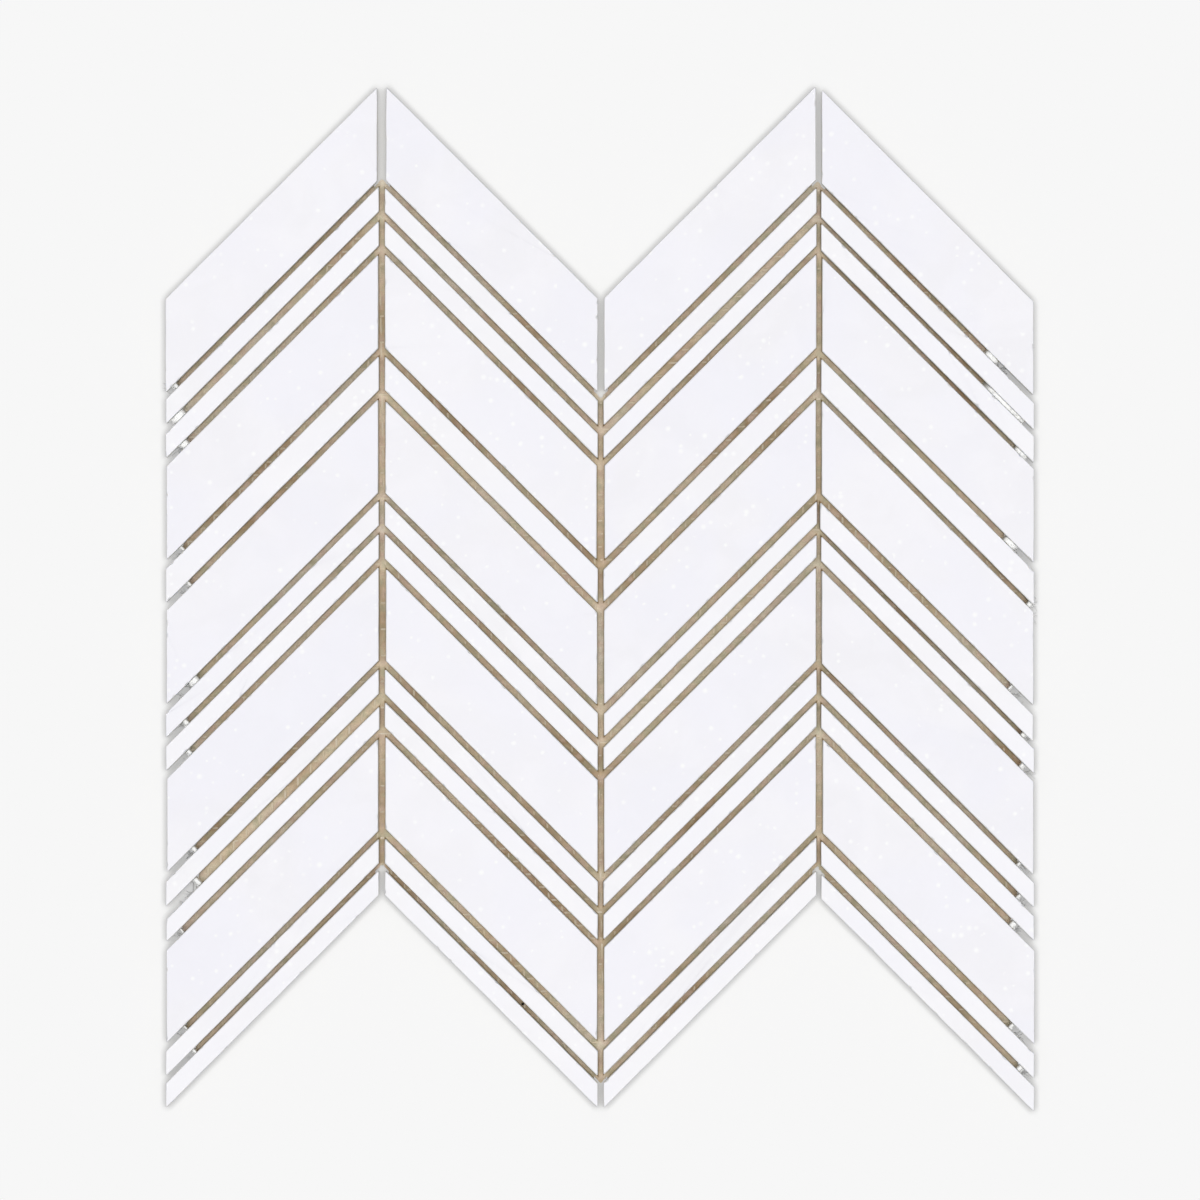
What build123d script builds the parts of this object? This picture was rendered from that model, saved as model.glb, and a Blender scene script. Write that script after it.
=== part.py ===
from build123d import *
import math
import os

# A chevron mosaic sheet: sawn white marble pieces glued to a glass-fibre mesh, lying face up.
# +X runs across the columns, +Y runs up the sheet, and +Z leaves the polished face.
# The origin is under the sheet's middle, on the underside of the mesh. Sizes are in millimetres.

# Marble: a column is as wide as its wide tiles, measured straight across, and a strip sticks
# out past them a little at both ends. A piece's height is measured square to its long edges
column_width = 63.3
strip_overhang = 0.2
wide_height = 19.9
strip_height = 5.35
medium_height = 7.3
stone_thickness = 9.5
slant_deg = 45.0

# Edges: a piece's two narrow tips are nipped off, and the arris of its polished face is eased
tip_nip = 0.55
arris = 0.2

# Joints between the rows of a column, and the upright joints between the columns' wide tiles
row_joint = 1.65
column_joints = (2.1, 2.0, 1.7)

# How far below the first column the layer set each column
column_drops = (0.0, 0.0, 0.0, 1.1)

# Pieces that came off the saw tall or short: (column, row) to height
tall_strip_height = 5.8
short_strip_height = 4.9
short_medium_height = 6.9
short_wide_height = 19.6
odd_heights = {
    (1, 11): short_strip_height,
    (1, 12): short_wide_height,
    (2, 6): short_wide_height,
    (2, 9): short_wide_height,
    (2, 12): short_wide_height,
    (3, 3): short_strip_height,
    (3, 5): short_medium_height,
    (3, 7): short_strip_height,
    (3, 8): short_strip_height,
    (4, 2): tall_strip_height,
    (4, 3): tall_strip_height,
    (4, 7): tall_strip_height,
}

# Pieces that were set off the middle of their place in the row, downwards where positive
slight_nudge = 0.25
clear_nudge = 0.5
strong_nudge = 0.8
nudges = {
    (1, 2): -slight_nudge,
    (1, 11): strong_nudge,
    (1, 12): clear_nudge,
    (1, 13): slight_nudge,
    (2, 6): slight_nudge,
    (2, 13): slight_nudge,
    (3, 3): slight_nudge,
    (4, 4): -slight_nudge,
    (4, 5): -slight_nudge,
    (4, 6): -clear_nudge,
    (4, 8): -slight_nudge,
    (4, 9): -slight_nudge,
    (4, 10): -clear_nudge,
    (4, 11): -clear_nudge,
    (4, 12): -slight_nudge,
}

# Pieces that were slid along their row, to the right where positive
slight_slide = 0.15
clear_slide = 0.3
slides = {
    (1, 1): -clear_slide,
    (1, 9): slight_slide,
    (1, 11): slight_slide,
    (2, 1): slight_slide,
    (2, 4): -slight_slide,
    (2, 9): slight_slide,
    (3, 4): slight_slide,
    (3, 7): slight_slide,
    (4, 4): slight_slide,
    (4, 7): -clear_slide,
    (4, 12): clear_slide,
}

# Backing mesh in its dried adhesive: it stops short of the stones' outer edges all round,
# and is notched back to the first and last row joints where the upright joints run out.
# It was laid a little askew, so its side margins are measured half way down the sheet
mesh_thickness = 0.5
mesh_left_margin = 6.0
mesh_right_margin = 8.8
mesh_lean_deg = 1.1
mesh_top_margin = 6.0
mesh_bottom_margin = 1.5
mesh_notch_setback = 1.2
mesh_past_joint = 0.5

# Rows from the top down, the same in every column
WIDE = "wide_tile"
STRIP = "narrow_strip"
MEDIUM = "medium_strip"
ROW_KINDS = (WIDE, STRIP, STRIP, WIDE, MEDIUM, WIDE, STRIP, STRIP, WIDE, STRIP, STRIP, WIDE, STRIP, STRIP)
KIND_HEIGHTS = {WIDE: wide_height, STRIP: strip_height, MEDIUM: medium_height}

# Where the highest corner of each column stands, so that neighbours make a chevron
PEAK_SIDES = ("right", "left", "right", "left")

COLUMNS = range(1, len(PEAK_SIDES) + 1)
ROWS = range(1, len(ROW_KINDS) + 1)
LAST_COLUMN = len(PEAK_SIDES)
LAST_ROW = len(ROW_KINDS)

# Turning a distance square to the slanted edges into one straight up the sheet
upright = 1.0 / math.cos(math.radians(slant_deg))
slope = math.tan(math.radians(slant_deg))
sheet_width = LAST_COLUMN * column_width + sum(column_joints)


def usual_height(row):
    """The height, square to its long edges, of the usual piece in a row."""
    return KIND_HEIGHTS[ROW_KINDS[row - 1]]


def piece_height(column, row):
    """The height, square to its long edges, of one piece."""
    return odd_heights.get((column, row), usual_height(row))


def column_left(column):
    """X of a column's left side."""
    before = column - 1
    return -sheet_width / 2 + before * column_width + sum(column_joints[:before])


def column_right(column):
    """X of a column's right side."""
    return column_left(column) + column_width


def piece_sides(column, row):
    """X of the left and right sides of one piece."""
    overhang = 0.0 if ROW_KINDS[row - 1] == WIDE else strip_overhang
    slide = slides.get((column, row), 0.0)
    return column_left(column) - overhang + slide, column_right(column) + overhang + slide


def drop_to_middle(row):
    """How far the middle line of a row's place lies below its column's top edge, straight down."""
    rows_above = sum(usual_height(r) + row_joint for r in range(1, row))
    return (rows_above + usual_height(row) / 2) * upright


def drop_to_top(column, row):
    """How far the top edge of a piece lies below its column's top edge, straight down."""
    off_middle = nudges.get((column, row), 0.0) - piece_height(column, row) / 2
    return drop_to_middle(row) + off_middle * upright


def drop_to_bottom(column, row):
    """How far the bottom edge of a piece lies below its column's top edge, straight down."""
    return drop_to_top(column, row) + piece_height(column, row) * upright


# The sheet reaches from the highest column's peak to the lowest column's bottom tip
deepest_bottom = max(column_drops[c - 1] + drop_to_bottom(c, LAST_ROW) for c in COLUMNS)
sheet_length = deepest_bottom - min(column_drops) + (column_width + strip_overhang) * slope
peak_y = sheet_length / 2 + min(column_drops)


def slanted_y(column, x, drop):
    """Y at x on the line that runs a given drop below a column's top edge."""
    if PEAK_SIDES[column - 1] == "right":
        from_peak = column_right(column) - x
    else:
        from_peak = x - column_left(column)
    return peak_y - column_drops[column - 1] - drop - from_peak * slope


def slanted_patch(column, x_left, x_right, drop_top, drop_bottom):
    """A flat patch with upright sides, whose other two edges follow a column's slant."""
    corners = [
        (x_left, slanted_y(column, x_left, drop_bottom)),
        (x_right, slanted_y(column, x_right, drop_bottom)),
        (x_right, slanted_y(column, x_right, drop_top)),
        (x_left, slanted_y(column, x_left, drop_top)),
    ]
    return make_face(Polyline(*corners, close=True))


def marble_piece(column, row):
    """One sawn marble piece on top of the mesh, with nipped tips and an eased face."""
    outline = slanted_patch(
        column,
        *piece_sides(column, row),
        drop_to_top(column, row),
        drop_to_bottom(column, row),
    )
    # The narrow tips are the highest corner and the lowest one
    corners = outline.vertices().sort_by(Axis.Y)
    outline = chamfer([corners[0], corners[-1]], tip_nip)
    stone = extrude(outline, stone_thickness)
    polished_face = stone.faces().sort_by(Axis.Z)[-1]
    stone = chamfer(polished_face.edges(), arris)
    return Pos(0, 0, mesh_thickness) * stone


def mesh_sides():
    """The mesh as it came off the roll: two straight sides that lean to the left going up."""
    reach = sheet_length / 2
    lean = reach * math.tan(math.radians(mesh_lean_deg))
    left = column_left(1) + mesh_left_margin
    right = column_right(LAST_COLUMN) - mesh_right_margin
    corners = [
        (left + lean, -reach),
        (right + lean, -reach),
        (right - lean, reach),
        (left - lean, reach),
    ]
    return make_face(Polyline(*corners, close=True))


def mesh_under_stones(column):
    """The mesh under one column's stones, set back from its upright joints."""
    left_margin = 0.0 if column == 1 else mesh_notch_setback
    right_margin = 0.0 if column == LAST_COLUMN else mesh_notch_setback
    return slanted_patch(
        column,
        column_left(column) + left_margin,
        column_right(column) - right_margin,
        mesh_top_margin * upright,
        drop_to_bottom(column, LAST_ROW) - mesh_bottom_margin * upright,
    )


def mesh_across_joint(column):
    """The mesh across the upright joint on a column's right, from the first row joint to the last."""
    joint_width = column_joints[column - 1]
    joint_middle = column_right(column) + joint_width / 2
    reach = joint_width / 2 + 2 * mesh_notch_setback
    spans = {column: (joint_middle - reach, joint_middle), column + 1: (joint_middle, joint_middle + reach)}
    return [
        slanted_patch(
            side,
            x_left,
            x_right,
            drop_to_bottom(side, 1) - mesh_past_joint * upright,
            drop_to_top(side, LAST_ROW) + mesh_past_joint * upright,
        )
        for side, (x_left, x_right) in spans.items()
    ]


def mesh_backing():
    """The whole backing mesh as one thin sheet."""
    patches = [mesh_under_stones(column) for column in COLUMNS]
    for column in COLUMNS[:-1]:
        patches += mesh_across_joint(column)
    outline = (Sketch() + patches) & mesh_sides()
    return extrude(outline, mesh_thickness)


def main():
    os.makedirs("parts", exist_ok=True)
    export_step(mesh_backing(), "parts/mesh_backing.step")
    for column in COLUMNS:
        for row in ROWS:
            name = f"{ROW_KINDS[row - 1]}_c{column}_r{row:02d}"
            export_step(marble_piece(column, row), f"parts/{name}.step")


main()
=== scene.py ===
"""Looks of a chevron mosaic sheet: polished white marble on a glass-fibre mesh in dried adhesive."""
import math

import bpy
import numpy as np
from bpy.props import FloatProperty, FloatVectorProperty, IntProperty, PointerProperty
from bpy.types import Operator, Panel, PropertyGroup
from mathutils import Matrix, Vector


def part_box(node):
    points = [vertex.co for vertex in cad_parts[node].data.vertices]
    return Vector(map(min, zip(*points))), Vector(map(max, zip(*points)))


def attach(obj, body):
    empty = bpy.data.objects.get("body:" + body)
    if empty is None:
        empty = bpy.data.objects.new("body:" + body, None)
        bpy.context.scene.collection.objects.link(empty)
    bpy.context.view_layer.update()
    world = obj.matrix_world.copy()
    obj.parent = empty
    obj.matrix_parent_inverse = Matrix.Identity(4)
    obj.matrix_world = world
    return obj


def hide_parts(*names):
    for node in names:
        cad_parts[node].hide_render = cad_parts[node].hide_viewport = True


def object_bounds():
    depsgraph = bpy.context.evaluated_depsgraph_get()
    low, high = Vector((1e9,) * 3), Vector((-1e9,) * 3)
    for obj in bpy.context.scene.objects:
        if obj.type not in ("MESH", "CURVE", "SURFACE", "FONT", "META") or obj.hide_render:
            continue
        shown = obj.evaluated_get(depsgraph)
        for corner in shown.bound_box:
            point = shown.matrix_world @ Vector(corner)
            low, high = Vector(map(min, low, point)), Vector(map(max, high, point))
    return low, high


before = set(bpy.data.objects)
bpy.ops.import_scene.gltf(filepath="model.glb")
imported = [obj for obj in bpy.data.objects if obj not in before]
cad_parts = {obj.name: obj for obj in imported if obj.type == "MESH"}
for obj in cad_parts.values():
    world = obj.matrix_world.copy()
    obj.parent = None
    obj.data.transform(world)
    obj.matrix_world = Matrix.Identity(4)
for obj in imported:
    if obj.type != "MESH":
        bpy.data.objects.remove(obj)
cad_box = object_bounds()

bl_info = {
    "name": "Marble chevron mosaic sheet",
    "version": (1, 0, 0),
    "blender": (4, 5, 0),
    "location": "3D View > Sidebar > Mosaic",
    "description": "Dresses a mesh-backed chevron mosaic sheet in marble, adhesive and glass fibre",
    "category": "Object",
}

MM = 0.001

# The slant of the stones' long edges, how far they rise over a unit of x, and the upright height
# of a slanted band over its width square to the slant
SLANT = math.radians(45)
SLOPE = math.tan(SLANT)
UPRIGHT = 1 / math.cos(SLANT)

# The side towards which each column's stones rise
PEAK_SIDES = {1: "right", 2: "left", 3: "right", 4: "left"}
COLUMNS = sorted(PEAK_SIDES)
FIRST, LAST = COLUMNS[0], COLUMNS[-1]
ROW_JOINTS = 13
BACKING_NODE = "mesh_backing"


# Names of the stones, read from the frame


def stone_nodes(kind=""):
    """The frame's stone nodes whose name starts with a kind, in order of name."""
    return sorted(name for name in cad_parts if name.startswith(kind) and name != BACKING_NODE)


def column_of(node):
    """The column number in a stone's name, as in narrow_strip_c2_r07."""
    return int(node.split("_c")[-1][0])


def row_of(node):
    """The row number in a stone's name."""
    return int(node.split("_r")[-1])


def column_stones(column):
    """The names of a column's stones from the top row down."""
    return sorted((name for name in stone_nodes() if column_of(name) == column), key=row_of)


# Sizes and colours that a user would change


def in_mm(name, default, description):
    """A length setting, its default given in millimetres."""
    return FloatProperty(name=name, description=description, default=default * MM, unit="LENGTH")


def in_mm_by_joint(name, default, description):
    """A length setting for each row joint from the top, its defaults given in millimetres."""
    lengths = tuple(length * MM for length in default)
    return FloatVectorProperty(
        name=name, description=description, size=ROW_JOINTS, default=lengths, unit="LENGTH"
    )


def in_degrees(name, default, description):
    """An angle setting, its default given in degrees."""
    return FloatProperty(
        name=name, description=description, default=math.radians(default), subtype="ANGLE"
    )


def as_share(name, default, description):
    """A setting from 0 to 1."""
    return FloatProperty(name=name, description=description, default=default, min=0.0, max=1.0)


def as_brightness(name, default, description):
    """A setting from 0 up."""
    return FloatProperty(name=name, description=description, default=default, min=0.0)


def as_colour(name, default, description):
    """A colour setting."""
    return FloatVectorProperty(
        name=name, description=description, subtype="COLOR", size=3, min=0.0, max=1.0, default=default
    )


def as_seed(default, description):
    """The number that a random pattern starts from."""
    return IntProperty(name="Seed", description=description, default=default, min=0)


class StoneSettings(PropertyGroup):
    """Edges and wear of the sawn marble pieces."""

    tip_nip: in_mm("Tip nip", 0.55, "How far the frame's stones are nipped off along a narrow tip's sides")
    tip_radius: in_mm("Tip radius", 0.28, "Rounding of the two narrow tips, seen from above")
    corner_radius: in_mm("Corner radius", 0.25, "Rounding of the two wide corners, seen from above")
    arris: in_mm("Arris", 0.2, "Radius of the eased edge round the polished face")
    foot_round: in_mm("Foot round", 0.12, "Radius of the edge round the underside")
    point_step: in_mm("Point step", 2.4, "Distance between points along an unchipped edge")
    chip_spacing: in_mm("Chip spacing", 13.0, "Mean distance between small chips along the arris")
    chip_depth: in_mm("Chip depth", 0.34, "Depth of the deepest chips")
    seed: as_seed(11, "Start of the random wear")


class MarbleSettings(PropertyGroup):
    """Colour and figure of the marble."""

    wide_colour: as_colour("Wide tile colour", (0.906, 0.898, 0.936), "Polished colour of the wide tiles")
    strip_colour: as_colour(
        "Strip colour", (0.924, 0.917, 0.944), "Polished colour of the strips, cut from a whiter slab"
    )
    crystal_colour: as_colour(
        "Crystal colour", (0.975, 0.975, 0.985), "Colour of the small bright calcite crystals"
    )
    sawn_colour: as_colour(
        "Sawn colour", (0.97, 0.955, 0.915), "Colour of the matt sawn sides and underside"
    )
    cloud_size: in_mm("Cloud size", 16.0, "Size of the faint clouds in the marble")
    crystal_spacing: in_mm("Crystal spacing", 2.2, "Mean distance between places for a bright crystal")
    grain_size: in_mm("Grain size", 0.7, "Size of the marble's sugary grains")


class BackingSettings(PropertyGroup):
    """Mesh of glass fibre and the dried adhesive round it."""

    lean: in_degrees("Lean", 1.1, "How far the mesh was laid askew, leaning to the left going up")
    top_margin: in_mm("Top margin", 6.0, "From the first stones' top edge square down to the mesh")
    bottom_margin: in_mm("Bottom margin", 1.5, "From the mesh square down to the last stones' bottom edge")
    notch_setback: in_mm(
        "Notch setback",
        1.2,
        "How far the mesh is cut back from an upright joint above the first row joint",
    )
    past_joint: in_mm("Past joint", 0.5, "How far into the first and last row joints that notch reaches")
    left_ends: in_mm_by_joint(
        "Left ends",
        (3.1, 5.1, 6.1, 4.9, 6.9, 9.1, 6.1, 7.0, 8.7, 9.6, 4.6, 5.8, 8.5),
        "From the stones' left side in to the adhesive's end, joint by joint from the top",
    )
    right_ends: in_mm_by_joint(
        "Right ends",
        (13.9, 13.3, 5.2, 8.5, 1.6, 6.9, 3.4, 3.7, 4.6, 4.6, 6.7, 6.9, 4.6),
        "From the stones' right side in to the adhesive's end, joint by joint from the top",
    )
    left_tufts: in_mm_by_joint(
        "Left tufts",
        (0.9, 3.1, 1.7, 0.5, 0.6, 2.2, 1.0, 0.8, 0.9, 0.9, 0.4, 0.4, 0.6),
        "Length of the bare white fibre past each of the left ends",
    )
    right_tufts: in_mm_by_joint(
        "Right tufts",
        (3.0, 10.0, 3.0, 3.0, 1.0, 0.5, 1.0, 1.0, 0.6, 0.7, 1.2, 0.7, 1.0),
        "Length of the bare white fibre past each of the right ends",
    )
    speck_x: in_mm(
        "Speck place", -23.1, "X of the dark speck of grit in the second column's last row joint"
    )
    speck_size: in_mm("Speck size", 0.9, "Width of that speck")
    film_top: in_mm("Film top", 0.34, "Height of the adhesive in the middle of a joint")
    film_bottom: in_mm("Film bottom", 0.13, "Height of the adhesive's underside")
    creep: in_mm("Creep", 0.45, "How far the adhesive creeps up the foot of a stone")
    creep_width: in_mm("Creep width", 0.2, "Distance over which that creep dies away from the stone")
    selvage: in_mm("Selvage", 0.8, "From the mesh's cut sides to their first yarns")
    yarn_spacing: in_mm("Yarn spacing", 3.9, "Distance between the mesh's yarns")
    yarn_width: in_mm("Yarn width", 0.75, "Width of a yarn, which lies flat")
    yarn_thickness: in_mm("Yarn thickness", 0.28, "Thickness of a yarn")
    fringe: in_mm("Fringe", 2.2, "How far the longest cut yarns stick out past the mesh's side")
    film_colour: as_colour("Adhesive colour", (0.915, 0.782, 0.60), "Usual colour of the dried adhesive")
    pale_colour: as_colour("Pale adhesive colour", (0.94, 0.875, 0.79), "Colour where the adhesive is thin")
    brown_colour: as_colour("Brown adhesive colour", (0.58, 0.40, 0.235), "Colour where it dried darkest")
    pink_colour: as_colour("Pinkish adhesive colour", (0.90, 0.72, 0.63), "Colour of its pinkish patches")
    olive_colour: as_colour("Olive adhesive colour", (0.68, 0.67, 0.50), "Colour of its grey-green patches")
    # Glue on the sawn sides, drawn together with painted warm bounce light from the adhesive
    glue_and_bounce_colour: as_colour("Glue and painted bounce colour", (0.94, 0.86, 0.64), "Colour of glue and painted warm bounce light on the stones' sawn sides")
    # Painted shade: the colour that the adhesive is drawn in along the stones' feet, where the walls shade
    # it
    painted_foot_shade_colour: as_colour(
        "Painted foot shade colour", (0.26, 0.17, 0.06), "Colour of the painted shade in the adhesive at the stones' feet"
    )
    yarn_colour: as_colour(
        "Soaked yarn colour", (0.90, 0.82, 0.70), "Colour of the yarns that the adhesive has soaked"
    )
    bare_colour: as_colour(
        "Bare fibre colour", (0.97, 0.975, 0.975), "Colour of the bare glass fibre at the cut ends"
    )
    seed: as_seed(5, "Start of the random unevenness")


class StageSettings(PropertyGroup):
    """Camera, light and floor."""

    camera_height: in_mm("Camera height", 6500.0, "Height of the camera over the polished face")
    frame_width: in_mm("Frame width", 358.3, "Width of the square picture, measured at the polished face")
    frame_drop: in_mm("Frame drop", 0.3, "How far the picture's middle lies below the sheet's middle")
    ambient: as_brightness("Ambient", 0.41, "Brightness of a level white face in light from all round")
    soft: as_brightness("Soft light", 0.52, "Brightness of that face in the broad overhead light")
    soft_spread: in_degrees("Soft light spread", 26.0, "Width of the broad overhead light")
    flash: as_brightness("Flash", 0.07, "Brightness of that face in the light beside the camera")
    flash_spread: in_degrees("Flash spread", 7.0, "Width of the small light beside the camera")
    floor_colour: as_colour("Floor colour", (0.930, 0.930, 0.930), "Colour of the pale floor and backdrop")
    floor_bounce: as_share("Floor bounce", 0.5, "Share of its colour that the floor throws at the object")
    # Painted light: a glow on the floor that lightens its shadows where it is seen
    floor_glow: as_share("Floor glow", 0.36, "Share of its seen brightness that no shadow takes away")
    foot_shade: as_share("Foot shade", 0.20, "How much darker the floor looks along the sheet's foot")
    floor_radius: in_mm("Floor radius", 6000.0, "Radius of the round floor")


# Mesh building, from whole arrays


def ring_quads(rings, count):
    """Quads between closed rings of points, the first ring on top and running anticlockwise."""
    ring = np.arange(rings - 1)[:, None] * count
    here = np.arange(count)
    after = (here + 1) % count
    corners = [ring + here, ring + count + here, ring + count + after, ring + after]
    return np.stack(corners, axis=-1).reshape(-1, 4)


def grid_quads(across, down):
    """Quads of a grid of points stored across first, facing up where down runs towards -Y."""
    corner = np.arange(across - 1)[:, None] * down + np.arange(down - 1)
    return np.stack([corner, corner + 1, corner + down + 1, corner + down], axis=-1).reshape(-1, 4)


def build_object(name, points, faces, smooth=None, slots=None, values=None, uv=None):
    """A mesh object at the origin.

    points is an (n, 3) array in metres and faces a list of (m, 3) or (m, 4) arrays of point
    numbers. smooth and slots say for each of those arrays whether its faces are shaded smooth
    and which material they have. values holds a number for each point under an attribute's
    name, and uv a pair of numbers for each point.
    """
    counts = [len(group) for group in faces]
    corner_ids = np.concatenate([group.ravel() for group in faces]).astype(np.int32)
    sides = np.repeat([group.shape[1] for group in faces], counts)
    starts = np.concatenate([[0], np.cumsum(sides)[:-1]]).astype(np.int32)
    mesh = bpy.data.meshes.new(name)
    mesh.vertices.add(len(points))
    mesh.vertices.foreach_set("co", np.ascontiguousarray(points, dtype=np.float32).ravel())
    mesh.loops.add(len(corner_ids))
    mesh.loops.foreach_set("vertex_index", corner_ids)
    mesh.polygons.add(len(sides))
    mesh.polygons.foreach_set("loop_start", starts)
    mesh.polygons.foreach_set("use_smooth", np.repeat(smooth or [True] * len(faces), counts))
    if slots:
        mesh.polygons.foreach_set("material_index", np.repeat(slots, counts).astype(np.int32))
    for label, numbers in (values or {}).items():
        attribute = mesh.attributes.new(label, "FLOAT", "POINT")
        attribute.data.foreach_set("value", np.broadcast_to(numbers, len(points)).astype(np.float32))
    if uv is not None:
        layer = mesh.uv_layers.new(name="UVMap")
        layer.data.foreach_set("uv", uv[corner_ids].astype(np.float32).ravel())
    mesh.update(calc_edges=True)
    if mesh.validate():
        raise RuntimeError(f"{name} has faulty faces")
    piece = bpy.data.objects.new(name, mesh)
    bpy.context.scene.collection.objects.link(piece)
    return piece


def ripples(x, y, wavelength, seed):
    """Smooth unevenness between about -1 and 1: a sum of plane waves in random directions."""
    waves = 7
    rng = np.random.default_rng(seed)
    total = np.zeros(np.broadcast(x, y).shape)
    for _ in range(waves):
        direction = rng.uniform(0, 2 * math.pi)
        length = wavelength * rng.uniform(0.6, 1.7)
        phase = rng.uniform(0, 2 * math.pi)
        along = x * math.cos(direction) + y * math.sin(direction)
        total += np.sin(along * 2 * math.pi / length + phase)
    return total / math.sqrt(waves)


# Stones


# Straight steps in the arc at a narrow tip, at a wide corner and down the arris
TIP_STEPS = 8
CORNER_STEPS = 4
ARRIS_STEPS = 5


def stone_plan(node, nip):
    """The stone's four corners seen from above, anticlockwise from its lowest tip, in metres.

    The frame's box ends at the nipped tips. A nip of a given length along the slant takes that
    length times the slant's sine off the height, which is added back to find the sharp corners.
    """
    low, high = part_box(node)
    left, right = low[0], high[0]
    run = (right - left) * SLOPE
    bottom = low[1] - nip * math.sin(SLANT)
    top = high[1] + nip * math.sin(SLANT)
    if PEAK_SIDES[column_of(node)] == "right":
        return np.array([(left, bottom), (right, bottom + run), (right, top), (left, top - run)])
    return np.array([(right, bottom), (right, top - run), (left, top), (left, bottom + run)])


def corner_arc(before, corner, after, radius, steps):
    """Points and outward normals of an arc that touches both sides of a corner.

    Its middle lies back along the first side by the radius times the tangent of half the turn,
    and inwards by the radius. The normal swings from one side's to the other's.
    """
    coming = (corner - before) / np.linalg.norm(corner - before)
    going = (after - corner) / np.linalg.norm(after - corner)
    turn = math.acos(float(np.clip(coming @ going, -1, 1)))
    first_normal = np.array([coming[1], -coming[0]])
    middle = corner - coming * radius * math.tan(turn / 2) - first_normal * radius
    angles = math.atan2(first_normal[1], first_normal[0]) + np.linspace(0, turn, steps + 1)
    normals = np.stack([np.cos(angles), np.sin(angles)], axis=1)
    return middle + normals * radius, normals


def half_outline(corners, settings):
    """Half of a stone's outline, from the middle of its low tip to the middle of its high tip.

    Returns points, outward normals, the greatest inset that the rounding allows, and the
    distance run along the outline. The other half is this one turned half round.
    """
    most_of_radius = 0.85
    tip, corner = settings.tip_radius, settings.corner_radius
    low_tip, low_normals = corner_arc(corners[3], corners[0], corners[1], tip, TIP_STEPS)
    side, side_normals = corner_arc(corners[0], corners[1], corners[2], corner, CORNER_STEPS)
    high_tip, high_normals = corner_arc(corners[1], corners[2], corners[3], tip, TIP_STEPS)
    middle = TIP_STEPS // 2
    points = np.concatenate([low_tip[middle:], side, high_tip[: middle + 1]])
    normals = np.concatenate([low_normals[middle:], side_normals, high_normals[: middle + 1]])
    limits = np.full(len(points), most_of_radius * tip)
    limits[middle + 1 : middle + 2 + CORNER_STEPS] = most_of_radius * corner
    steps = np.linalg.norm(np.diff(points, axis=0), axis=1)
    return points, normals, limits, np.concatenate([[0], np.cumsum(steps)])


def chip_list(around, settings, rng):
    """Places, half widths and depths of the chips along an outline of a given length."""
    smallest, widest, deepest_from = 0.12 * MM, 0.9, 0.6 * MM
    count = rng.poisson(around / settings.chip_spacing)
    places = rng.uniform(0, around, count)
    half_widths = rng.uniform(0.2, 1.0, count) ** 2 * widest * MM + smallest
    depths = settings.chip_depth * rng.uniform(0.15, 1.0, count)
    return places, half_widths, depths * np.clip(half_widths / deepest_from, 0.3, 1)


def stone_outline(corners, settings, rng):
    """A stone's whole outline, its points dense on the arcs and across each chip.

    Returns points, outward normals, the greatest insets, distances run and chip depths. A chip
    adds its depth times the root of one minus the squared share of its half width. Points lie
    at the same places in both halves.
    """
    tiny, no_limit = 0.06 * MM, 1.0 * MM
    key_points, key_normals, key_limits, key_run = half_outline(corners, settings)
    half = key_run[-1]
    places, half_widths, depths = chip_list(2 * half, settings, rng)
    spread = np.array([-1.05, -0.85, -0.6, -0.3, 0.0, 0.3, 0.6, 0.85, 1.05])
    around_chips = (places[:, None] + half_widths[:, None] * spread).ravel() % half
    run = np.concatenate([key_run[:-1], np.arange(0, half, settings.point_step), around_chips])
    run = np.unique(np.round(run / tiny)) * tiny
    run = run[run < half - tiny]
    outline = np.stack([np.interp(run, key_run, key_points[:, i]) for i in (0, 1)], axis=1)
    normals = np.stack([np.interp(run, key_run, key_normals[:, i]) for i in (0, 1)], axis=1)
    normals /= np.linalg.norm(normals, axis=1)[:, None]
    outline = np.concatenate([outline, 2 * corners.mean(axis=0) - outline])
    normals = np.concatenate([normals, -normals])

    # Only the rounded corners limit the inset, and not the straight sides
    limits = np.tile(np.interp(run, key_run, key_limits, left=0, right=0), 2)
    steepest = np.abs(normals).max(axis=1)
    straight = (steepest > 0.9999) | (np.abs(steepest - math.sin(SLANT)) < 1e-4)
    run = np.concatenate([run, run + half])
    gap = (run[:, None] - places + half) % (2 * half) - half
    chips = depths * np.clip(1 - (gap / half_widths) ** 2, 0, None) ** 0.5
    return outline, normals, np.where(straight, no_limit, limits), run, chips.sum(axis=1)


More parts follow.
